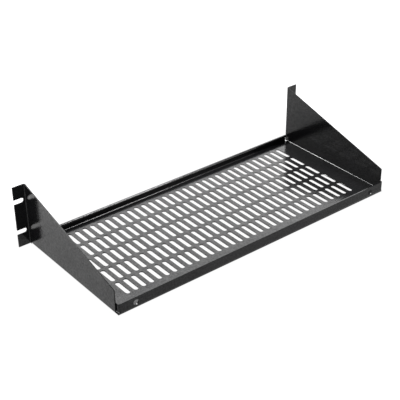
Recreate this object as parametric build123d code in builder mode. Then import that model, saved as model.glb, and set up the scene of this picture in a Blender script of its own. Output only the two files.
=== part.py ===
"""Vented cantilever shelf for a 19-inch rack, two units tall, folded from one sheet of steel.

One blank makes the whole shelf. The slotted deck lies at the bottom. Each side folds up into a
tapering bracket, and the far end of each bracket folds outwards into a mounting ear with two
slots open at its edge. The far edge of the deck folds up into a low flange whose top is rolled
over, and the near edge folds up into a lip with a hole at each end. The ends of the lip fold
back inside the brackets as short corner tabs.

X runs across the rack, Y runs from the free end of the shelf (-Y) to its ears (+Y), and Z runs
up from the underside of the deck. The origin is below the middle of the shelf.
"""

import os
from math import cos, pi, sin

from build123d import *

# Sheet
sheet = 1.5
bend_inner = 1.0
bend_outer = bend_inner + sheet

# Ears, to the 19-inch standard
ear_span = 482.6
ear_width = 16.8
ear_height = 88.1
ear_slot_spacing = 44.45
ear_slot_width = 6.8
ear_slot_depth = 13.9

# Body
depth = 200.0
bracket_near_height = 32.5
bracket_corner = 1.5

# Deck slots
slot_pitch_across = 11.85
slot_pitch_along = 32.0
slot_width = 6.4
slot_length = 28.0
slot_end_facets = 6
slot_far_margin = 12.4
slot_near_margin = 20.0
slot_side_margin = 27.0

# Far flange with its rolled top
flange_height = 10.0
rolled_depth = 5.2
rolled_leg = 4.0
blank_gap = 0.2
corner_notch = 2.5
corner_slit = 1.2

# Near lip with its corner tabs
lip_height = 15.0
lip_overhang = 5.1
lip_hole = 7.5
lip_hole_rise = 7.2
lip_hole_inset = 26.5
tab_length = 14.0
tab_gap = 0.2

# Places that follow from those sizes
over = 1.0
body_width = ear_span - 2 * ear_width
lip_face = -depth / 2
ear_face = depth / 2
flange_face = ear_face - rolled_depth
far_bend = flange_face - bend_inner
bracket_near = lip_face + lip_overhang
bracket_inside = body_width / 2 - sheet
side_bend = body_width / 2 - bend_outer
flange_end = side_bend - blank_gap
roll_start = flange_height - bend_outer
tab_face = bracket_inside - tab_gap
tab_bend = tab_face - bend_outer
tab_bottom = bend_outer + corner_slit
ear_slot_cut = ear_slot_depth + ear_slot_width

# Slots that fit on the deck: the farthest row stays at its margin from the far flange
slot_room_across = body_width - 2 * slot_side_margin - slot_width
slot_columns = int(slot_room_across / slot_pitch_across) + 1
slot_far_row = flange_face - slot_far_margin - slot_length / 2
slot_near_row = lip_face + slot_near_margin + slot_length / 2
slot_rows = int((slot_far_row - slot_near_row) / slot_pitch_along) + 1
slot_grid_centre = slot_far_row - slot_pitch_along * (slot_rows - 1) / 2

with BuildPart() as vented_shelf:
    # Deck and brackets: a channel folded up along both sides
    with BuildSketch(Plane.XZ.offset(-far_bend)):
        with BuildLine():
            channel = FilletPolyline(
                (-body_width / 2, ear_height),
                (-body_width / 2, 0),
                (body_width / 2, 0),
                (body_width / 2, ear_height),
                radius=bend_outer,
            )
            offset(channel, amount=sheet, side=Side.LEFT)
        make_face()
    extrude(amount=far_bend - bracket_near)

    # Ears: the far end of each bracket folds outwards
    with BuildSketch():
        with BuildLine():
            ear = FilletPolyline(
                (bracket_inside, far_bend),
                (bracket_inside, ear_face),
                (ear_span / 2, ear_face),
                radius=bend_outer,
            )
            offset(ear, amount=sheet, side=Side.RIGHT)
        make_face()
        mirror(about=Plane.YZ)
    extrude(amount=ear_height)

    # Slits that let the lower ends of the ears reach below the side folds
    with BuildSketch(Plane.XY.offset(-over)):
        with Locations((-side_bend, far_bend), (side_bend, far_bend)):
            Rectangle(2 * bend_outer + 2 * over, corner_slit, align=(Align.CENTER, Align.MIN))
    extrude(amount=bend_outer + over, mode=Mode.SUBTRACT)

    # Taper of the brackets, from the ears down to their near ends
    with BuildSketch(Plane.YZ) as taper:
        with BuildLine():
            Polyline(
                (ear_face - bend_outer, ear_height),
                (bracket_near, bracket_near_height),
                (bracket_near, bend_outer),
                (bracket_near - over, bend_outer),
                (bracket_near - over, ear_height + over),
                (ear_face - bend_outer, ear_height + over),
                close=True,
            )
        make_face()
        fillet(taper.vertices().group_by(Axis.Y)[1], radius=bracket_corner)
    extrude(amount=ear_span / 2, both=True, mode=Mode.SUBTRACT)

    # Slots in the ears, open at their outer edges
    with BuildSketch(Plane.XZ.offset(-ear_face)):
        with Locations((0, ear_height / 2)):
            with GridLocations(ear_span - ear_slot_depth + ear_slot_width, ear_slot_spacing, 2, 2):
                SlotOverall(ear_slot_cut, ear_slot_width)
    extrude(amount=sheet, mode=Mode.SUBTRACT)

    # Far flange: up from the deck, then rolled over level with the front of the ears
    with BuildSketch(Plane.YZ):
        with BuildLine():
            flange = FilletPolyline(
                (far_bend - sheet, sheet),
                (flange_face, sheet),
                (flange_face, flange_height),
                (ear_face, flange_height),
                (ear_face, roll_start - rolled_leg),
                radius=[bend_inner, bend_outer, bend_outer],
            )
            offset(flange, amount=sheet, side=Side.RIGHT)
        make_face()
    extrude(amount=flange_end, both=True)

    # Notches at the far corners, where the flange meets the brackets
    with BuildSketch(Plane.XY.offset(-over)):
        with Locations((-flange_end, far_bend), (flange_end, far_bend)):
            Rectangle(2 * corner_notch, ear_face - far_bend, align=(Align.CENTER, Align.MIN))
    extrude(amount=over + roll_start, mode=Mode.SUBTRACT)

    # Near lip: forward from the deck and up
    with BuildSketch(Plane.YZ):
        with BuildLine():
            lip = FilletPolyline(
                (bracket_near, 0),
                (lip_face, 0),
                (lip_face, lip_height),
                radius=bend_outer,
            )
            offset(lip, amount=sheet, side=Side.RIGHT)
        make_face()
    extrude(amount=side_bend, both=True)

    # Ends of the lip, cut off above its bend to make room for the corner folds
    with BuildSketch(Plane.XZ.offset(-lip_face - bend_outer)):
        with Locations((-tab_face, bend_outer), (tab_face, bend_outer)):
            Rectangle(2 * bend_outer, lip_height, align=(Align.CENTER, Align.MIN))
    extrude(amount=bend_outer + over, mode=Mode.SUBTRACT)

    # Corner tabs: the ends of the lip fold back inside the brackets
    with BuildSketch(Plane.XY.offset(tab_bottom)):
        with BuildLine():
            tab = FilletPolyline(
                (tab_bend - sheet, lip_face),
                (tab_face, lip_face),
                (tab_face, lip_face + tab_length),
                radius=bend_outer,
            )
            offset(tab, amount=sheet, side=Side.LEFT)
        make_face()
        mirror(about=Plane.YZ)
    extrude(amount=lip_height - tab_bottom)

    # Holes near the ends of the lip
    with BuildSketch(Plane.XZ.offset(-lip_face)):
        with Locations((0, lip_hole_rise)):
            with GridLocations(body_width - 2 * lip_hole_inset, 0, 2, 1):
                Circle(lip_hole / 2)
    extrude(amount=-sheet, mode=Mode.SUBTRACT)

    # Rows of slots in the deck, with each round end as a few flat facets
    slot_radius = slot_width / 2
    slot_turns = [i * pi / slot_end_facets for i in range(slot_end_facets + 1)]
    far_end = [
        (slot_radius * cos(turn), slot_length / 2 - slot_radius + slot_radius * sin(turn))
        for turn in slot_turns
    ]
    near_end = [(-x, -y) for x, y in far_end]
    with BuildSketch():
        with Locations((0, slot_grid_centre)):
            with GridLocations(slot_pitch_across, slot_pitch_along, slot_columns, slot_rows):
                Polygon(*far_end, *near_end, align=Align.CENTER)
    extrude(amount=sheet, mode=Mode.SUBTRACT)

vented_shelf.part.label = "vented_shelf"

os.makedirs("parts", exist_ok=True)
export_step(vented_shelf.part, "parts/vented_shelf.step")
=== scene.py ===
# %% [markdown]
# A vented cantilever shelf for a 19-inch rack, folded from one sheet of black powder-coated steel.
#
# The CAD frame already holds the folded sheet at its real size: the deck with its rows of slots,
# the two tapering brackets, the ears with their open slots, the rolled far flange and the near
# lip. This lesson loads that frame, turns its facets into one smooth folded sheet, coats it with
# black powder, and sets it on a light table before a camera.

# %% Load the frame
import math

import bpy
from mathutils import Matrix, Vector


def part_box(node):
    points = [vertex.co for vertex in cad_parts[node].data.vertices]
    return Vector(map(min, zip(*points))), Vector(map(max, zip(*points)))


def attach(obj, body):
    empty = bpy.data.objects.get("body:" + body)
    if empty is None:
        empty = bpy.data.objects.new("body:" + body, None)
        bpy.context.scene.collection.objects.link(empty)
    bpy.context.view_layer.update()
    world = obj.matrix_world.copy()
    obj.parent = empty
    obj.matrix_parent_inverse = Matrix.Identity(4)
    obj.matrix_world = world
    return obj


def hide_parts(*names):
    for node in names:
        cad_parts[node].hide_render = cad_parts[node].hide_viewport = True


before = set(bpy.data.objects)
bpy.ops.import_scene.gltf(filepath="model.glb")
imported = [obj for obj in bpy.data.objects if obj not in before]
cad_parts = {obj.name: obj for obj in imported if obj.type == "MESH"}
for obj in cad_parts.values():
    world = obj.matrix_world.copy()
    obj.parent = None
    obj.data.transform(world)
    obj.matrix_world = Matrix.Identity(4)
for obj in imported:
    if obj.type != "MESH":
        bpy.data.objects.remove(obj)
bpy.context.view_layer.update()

cad_low, cad_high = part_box("vented_shelf")
print("CAD box", [round(v, 4) for v in cad_low], [round(v, 4) for v in cad_high])

# %% [markdown]
# Operators act on everything that is selected, and loading the frame leaves its nodes selected.
# Each step here starts from a clean selection, so this small helper comes first.


# %% A clean selection
def select_only(thing):
    """Deselect everything, then select one object and make it active."""
    bpy.ops.object.select_all(action="DESELECT")
    thing.select_set(True)
    bpy.context.view_layer.objects.active = thing


# %% [markdown]
# The frame's mesh is loose triangles, which shade flat and show every fold as a row of facets.
# Modelling the shelf again would only repeat what the CAD says, so a copy of the node is welded
# into one surface instead. Shading it smooth by angle turns the folds into true curves and keeps
# the cut edges crisp.

# %% One welded sheet
shelf_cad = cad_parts["vented_shelf"]
select_only(shelf_cad)
bpy.ops.object.duplicate()
shelf = bpy.context.active_object
shelf.name = "folded_shelf"
shelf.parent = None
weld_distance = 1e-5
bpy.ops.object.mode_set(mode="EDIT")
bpy.ops.mesh.select_all(action="SELECT")
bpy.ops.mesh.remove_doubles(threshold=weld_distance)
bpy.ops.object.mode_set(mode="OBJECT")
fold_smoothing = math.radians(35)
bpy.ops.object.shade_smooth_by_angle(angle=fold_smoothing)
print("folded_shelf faces", len(shelf.data.polygons))

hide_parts("vented_shelf")
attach(shelf, "root")

# %% [markdown]
# Smooth shading blends the normals of all faces that meet at a point. Where the flat deck runs
# into a fold, that would tilt the light over the whole flat face, so the flats are marked as
# strong faces and the Weighted Normal modifier lets only them decide. The folds stay round, and
# the flats stay flat right up to them.

# %% Flat stays flat
flat_tolerance = 0.9999
bpy.ops.object.mode_set(mode="EDIT")
bpy.ops.mesh.select_mode(type="FACE")
bpy.ops.mesh.select_all(action="DESELECT")
bpy.ops.object.mode_set(mode="OBJECT")
for face in shelf.data.polygons:
    face.select = max(abs(part) for part in face.normal) > flat_tolerance
flat_count = sum(face.select for face in shelf.data.polygons)
bpy.ops.object.mode_set(mode="EDIT")
bpy.ops.mesh.mod_weighted_strength(set=True, face_strength="STRONG")
bpy.ops.object.mode_set(mode="OBJECT")
bpy.ops.object.modifier_add(type="WEIGHTED_NORMAL")
weighting = shelf.modifiers[-1]
weighting.keep_sharp = True
weighting.use_face_influence = True
bpy.ops.object.modifier_apply(modifier=weighting.name)
print("flat faces", flat_count)

# %% [markdown]
# Shaders are easier to read as sums than as wires. This class wraps one socket, so that adding
# or multiplying two of them places the Math node for it. One method makes every other node.


# %% Shader sums
class Wire:
    """One output socket of a material, with Python's operators adding its Math nodes."""

    def __init__(self, tree, socket):
        self.tree = tree
        self.socket = socket

    def math(self, operation, *others):
        node = self.tree.nodes.new("ShaderNodeMath")
        node.operation = operation
        for slot_input, value in zip(node.inputs, others):
            plug(self.tree, slot_input, value)
        return Wire(self.tree, node.outputs[0])

    def __add__(self, other):
        return self.math("ADD", self, other)

    def __radd__(self, other):
        return self.math("ADD", other, self)

    def __sub__(self, other):
        return self.math("SUBTRACT", self, other)

    def __rsub__(self, other):
        return self.math("SUBTRACT", other, self)

    def __mul__(self, other):
        return self.math("MULTIPLY", self, other)

    def __rmul__(self, other):
        return self.math("MULTIPLY", other, self)


def plug(tree, slot_input, value):
    """Set a socket to a number or colour, or link a wire to it."""
    if isinstance(value, Wire):
        tree.links.new(value.socket, slot_input)
    else:
        slot_input.default_value = value


class Paint:
    """A new material and the one method that adds nodes to it."""

    def __init__(self, name):
        self.material = bpy.data.materials.new(name)
        self.material.use_nodes = True
        self.tree = self.material.node_tree
        self.tree.nodes.clear()

    def node(self, kind, output=None, settings=None, **inputs):
        made = self.tree.nodes.new(kind)
        for key, value in (settings or {}).items():
            setattr(made, key, value)
        for key, value in inputs.items():
            plug(self.tree, made.inputs[key.replace("_", " ")], value)
        if not made.outputs:
            return made
        return Wire(self.tree, made.outputs[output or 0])

    def cover(self, piece):
        piece.data.materials.clear()
        piece.data.materials.append(self.material)


# %% [markdown]
# Powder coat is a thin plastic skin baked onto the steel. On this shelf it is black with a satin
# gloss and a fine orange-peel texture: close up the surface is a field of tiny bumps that break
# the reflections into specks, and over a few centimetres the film is a little more or less glossy.

# %% Black powder coat
coat_black = (0.003, 0.003, 0.0033, 1.0)
coat_gloss = 0.12
coat_roughness = 0.1
roughness_change = 0.04
skin_weight = 0.22
skin_roughness = 0.12
grain_scale = 420.0
grain_depth = 0.0002
grain_strength = 0.9
cloud_scale = 30.0
noise_detail = 3.0
noise_middle = 0.5
speckle = 4

coat = Paint("black_powder_coat")
place = coat.node("ShaderNodeTexCoord", output="Object")


def noise(scale):
    """Add a noise texture fixed to the sheet, with the given number of cells per metre."""
    return coat.node(
        "ShaderNodeTexNoise", output="Fac", Vector=place, Scale=scale, Detail=noise_detail
    )


grain = noise(grain_scale)
cloud = noise(cloud_scale)
bumps = coat.node("ShaderNodeBump", Height=grain, Strength=grain_strength, Distance=grain_depth)
rise = grain - noise_middle
drift = cloud - noise_middle
skin = coat.node(
    "ShaderNodeBsdfPrincipled",
    Base_Color=coat_black,
    Specular_IOR_Level=coat_gloss,
    Roughness=coat_roughness + roughness_change * drift + roughness_change * rise,
    Coat_Weight=skin_weight * (1 + speckle * rise + drift),
    Coat_Roughness=skin_roughness,
    Normal=bumps,
)
coat.node("ShaderNodeOutputMaterial", Surface=skin)
coat.cover(shelf)
coat.cover(shelf_cad)
print("materials", [m.name for m in shelf.data.materials])

# %% [markdown]
# The photograph is a catalogue picture: the shelf stands on white, seen from its free end, a
# little from the left and from above, with its uprights kept parallel. Only a large lens shift
# does that, and it would push the shelf out of every other view. So this camera has no shift and
# simply tilts down, and its uprights lean outwards a little.

# %% Camera
camera_place = Vector((-0.7165, -0.8811, 0.7094))
camera_turn = (math.radians(58.904), math.radians(0.566), math.radians(-38.573))
sensor_width = 36.0
lens = 89.41
bpy.ops.object.camera_add(location=camera_place, rotation=camera_turn)
camera = bpy.context.active_object
camera.name = "catalogue_camera"
camera.data.sensor_width = sensor_width
camera.data.lens = lens
bpy.context.scene.camera = camera
print("camera", [round(v, 3) for v in camera.location], camera.data.lens)

# %% [markdown]
# Black gloss shows little of its own colour, so what it looks like is what it reflects. The shelf
# lies on a light table: white paper lit from below, which leaves no cast shadow. Its glow carries
# painted shade instead: it is even under the shelf and grows a little stronger outside it. Just
# inside the outline, where the rims touch the paper, it is kept off: a painted contact shadow, the
# fine dark line of a thing on a table.

# %% Light table, its glow carrying painted shade
# Painted shade: the paper glows less under and at the shelf than farther out.
glow_in_painted_shade = 1.0
paper_glow_far = 1.65
shade_fade_distance = 0.12
# Painted contact shadow: the glow left in the band just inside the outline, its width and its soft
# edges.
contact_shadow_glow = 0.05
contact_shadow_width = 0.011
contact_shadow_soft_outside = 0.0006
contact_shadow_soft_inside = 0.001
table_size = 12.0
table_gap = 0.0002
rim_x = 0.2235
rim_far_y = 0.0948
rim_middle_y = (cad_low[1] + rim_far_y) / 2
rim_half_y = (rim_far_y - cad_low[1]) / 2

bpy.ops.mesh.primitive_plane_add(size=table_size, location=(0, 0, -table_gap))
table = bpy.context.active_object
table.name = "light_table"
paper = Paint("lit_paper_with_painted_shade")
paper_place = paper.node("ShaderNodeTexCoord", output="Object")
spot_x = paper.node("ShaderNodeSeparateXYZ", Vector=paper_place)
spot_y = Wire(paper.tree, spot_x.socket.node.outputs["Y"])
outside_x = spot_x.math("ABSOLUTE", spot_x) - rim_x
outside_y = spot_y.math("ABSOLUTE", spot_y - rim_middle_y) - rim_half_y
outside = outside_x.math("MAXIMUM", outside_x, outside_y)


def ease(value, start, end, low, high):
    """Ease from low to high while the value runs from start to end."""
    return paper.node(
        "ShaderNodeMapRange",
        settings={"interpolation_type": "SMOOTHSTEP"},
        Value=value,
        From_Min=start,
        From_Max=end,
        To_Min=low,
        To_Max=high,
    )


# Painted shade round the shelf: the glow rises from the low level at the outline to the open level
# farther out.
glow_with_shade_round_shelf = ease(outside, 0.0, shade_fade_distance, glow_in_painted_shade, paper_glow_far)
# Painted contact shadow: a band just inside the outline where the glow is nearly off.
fade_out = ease(outside, -contact_shadow_soft_outside, 0.0, 1.0, 0.0)
fade_in = ease(outside, -contact_shadow_width - contact_shadow_soft_inside, -contact_shadow_width, 0.0, 1.0)
painted_contact_shadow = fade_out * fade_in
# The paper's glow, with the painted shade and the painted contact shadow in it.
glow_with_painted_shadows = glow_with_shade_round_shelf * (1 - (1 - contact_shadow_glow) * painted_contact_shadow)
lit = paper.node(
    "ShaderNodeBsdfPrincipled",
    Base_Color=(0, 0, 0, 1),
    Specular_IOR_Level=0.0,
    Emission_Color=glow_with_painted_shadows,
    Emission_Strength=1.0,
)
paper.node("ShaderNodeOutputMaterial", Surface=lit)
paper.cover(table)
print("light table", table.name, [round(v, 1) for v in table.dimensions])

# %% [markdown]
# The room round the table is an even grey. It gives the coat something to reflect wherever no
# soft box shows, so that no face turns to plain black.

# %% Grey surround
surround = 0.4
world = bpy.data.worlds.new("grey_surround")
world.use_nodes = True
backdrop = world.node_tree.nodes["Background"]
backdrop.inputs["Color"].default_value = (1, 1, 1, 1)
backdrop.inputs["Strength"].default_value = surround
bpy.context.scene.world = world
print("surround", surround)

# %% [markdown]
# Most soft boxes stand where one kind of surface mirrors them into the camera: the deck, the
# slope edges of the brackets, the fold lines and the rolled flange. Brightness is given as
# radiance, what a mirror would show, and the light's power follows from that and its size.


# %% Soft boxes
box_distance = 1.6


def soft_box(name, azimuth, height_angle, width, height, radiance):
    """Hang a soft box round the shelf, aimed at it; azimuth runs from +Y towards +X."""
    away, up = math.radians(azimuth), math.radians(height_angle)
    out = Vector((math.sin(away) * math.cos(up), math.cos(away) * math.cos(up), math.sin(up)))
    bpy.ops.object.light_add(type="AREA", location=out * box_distance)
    lamp = bpy.context.active_object
    lamp.name = name
    lamp.data.shape = "RECTANGLE"
    lamp.data.size = width
    lamp.data.size_y = height
    lamp.data.energy = radiance * math.pi * width * height
    lamp.rotation_euler = out.to_track_quat("Z", "Y").to_euler()
    print(name, "power", round(lamp.data.energy, 1))


soft_box("deck_box", azimuth=38, height_angle=32, width=1.0, height=1.0, radiance=3.6)
soft_box("edge_box", azimuth=37, height_angle=55, width=0.9, height=0.5, radiance=4.5)
soft_box("left_edge_box", azimuth=48, height_angle=70, width=0.4, height=0.3, radiance=8.0)
soft_box("right_edge_box", azimuth=70, height_angle=41, width=0.4, height=0.3, radiance=1.5)
soft_box("fold_box", azimuth=-8, height_angle=51, width=0.7, height=0.22, radiance=80.0)
soft_box("back_left_box", azimuth=-42, height_angle=32, width=0.9, height=0.6, radiance=6.0)
soft_box("back_line_box", azimuth=92, height_angle=65, width=0.6, height=0.35, radiance=50.0)
soft_box("side_box", azimuth=-95, height_angle=12, width=0.6, height=0.6, radiance=5.0)
soft_box("front_box", azimuth=132, height_angle=42, width=0.7, height=0.7, radiance=6.0)

# %% [markdown]
# The Standard view shows white paper as white. Blender's usual view would turn it grey.

# %% Plain colours
bpy.context.scene.view_settings.view_transform = "Standard"
print("view", bpy.context.scene.view_settings.view_transform)
